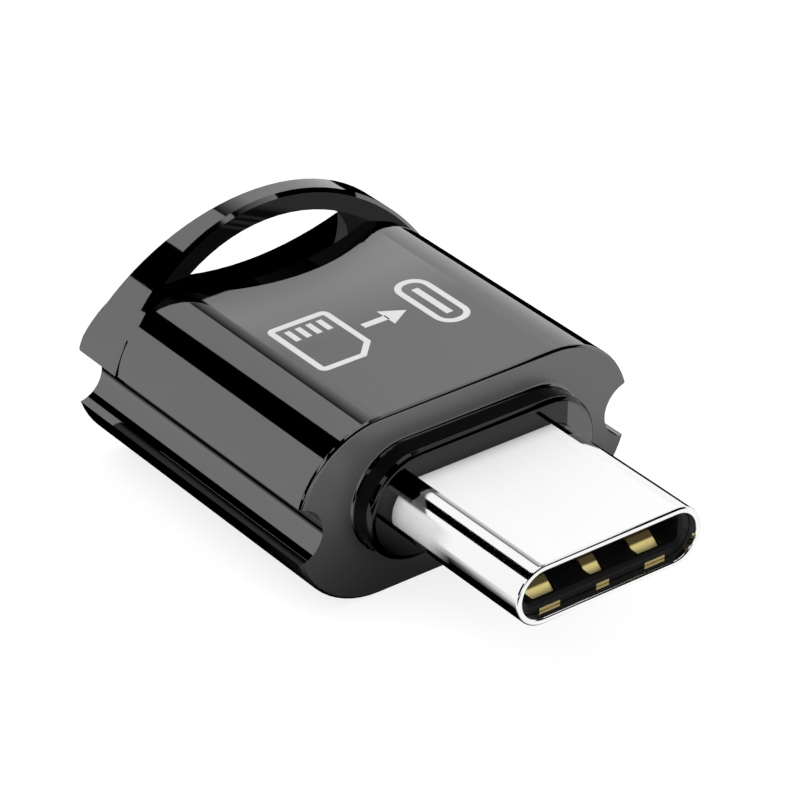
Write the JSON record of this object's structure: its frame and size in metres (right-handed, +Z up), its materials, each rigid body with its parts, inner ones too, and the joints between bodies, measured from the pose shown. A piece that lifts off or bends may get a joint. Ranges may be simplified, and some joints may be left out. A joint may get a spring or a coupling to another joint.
{
  "type": "memory card reader",
  "caption": "Pocket memory card reader with a Type-C plug, a grooved gloss black shell, a cord loop over the rear end and a card slot in the rear face.",
  "frame": {"origin": "middle of the overall box, on the surface that the shell rests on", "axes": "+X across the body, -Y along the plug towards its tip, +Z up towards the loop"},
  "size_m": [0.0148, 0.0216, 0.0095],
  "materials": {
    "shell": "gloss black plated zinc casting",
    "steel": "bright nickel plated steel",
    "gold": "gold plated spring strip",
    "black_plastic": "moulded black",
    "board": "green solder mask",
    "ceramic": "fired ceramic",
    "print": "pale grey printed ink"
  },
  "bodies": {
    "root": {"shell": "shell", "plug_shell": "steel", "plug_housing": "black_plastic", "ground_spring_upper": "gold", "ground_spring_lower": "gold", "plug_contacts_upper": "gold", "plug_contacts_lower": "gold", "contact_carrier_upper": "black_plastic", "contact_carrier_lower": "black_plastic", "latch_plate": "steel", "circuit_board": "board", "controller_chip": "black_plastic", "crystal": "steel", "capacitors": "ceramic", "resistors": "black_plastic", "card_socket_base": "black_plastic", "card_socket_cover": "steel", "card_socket_contacts": "gold", "card_detect_spring": "gold", "tray": "black_plastic"}
  },
  "joints": []
}
